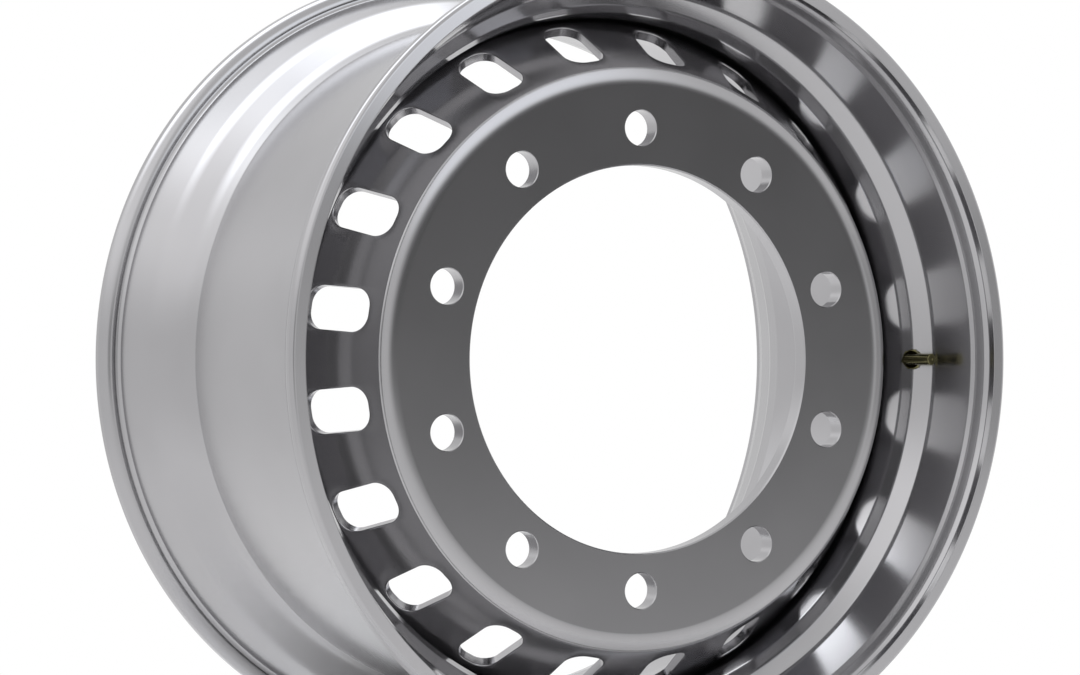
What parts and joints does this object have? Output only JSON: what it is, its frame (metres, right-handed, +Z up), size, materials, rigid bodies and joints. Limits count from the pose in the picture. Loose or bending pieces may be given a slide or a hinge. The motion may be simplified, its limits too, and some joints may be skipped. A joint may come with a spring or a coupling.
{
  "type": "steel wheel",
  "caption": "Steel disc wheel for a tubeless truck tyre: drop-centre rim, deep-offset disc with round bolt holes and rounded hand holes, weld bead and angled inflation valve.",
  "frame": {"origin": "middle of the rim's width, on the spin axis", "axes": "the wheel stands upright: +Y along the spin axis to the inboard side, where the hub is; -Y outboard, toward the hub face; +Z up; +X toward the valve"},
  "size_m": [0.5968, 0.3338, 0.5968],
  "materials": {
    "wheel_paint": "smooth glossy silver-grey coat",
    "valve_brass": "dulled olive brass",
    "valve_rubber": "matte black"
  },
  "bodies": {
    "root": {"rim": "wheel_paint", "disc": "wheel_paint", "disc_weld": "wheel_paint", "valve_stem": "valve_brass", "valve_washer": "valve_brass", "valve_nut": "valve_brass", "valve_cap": "valve_brass", "valve_core": "valve_brass", "valve_grommet": "valve_rubber", "cap_seal": "valve_rubber"}
  },
  "joints": []
}
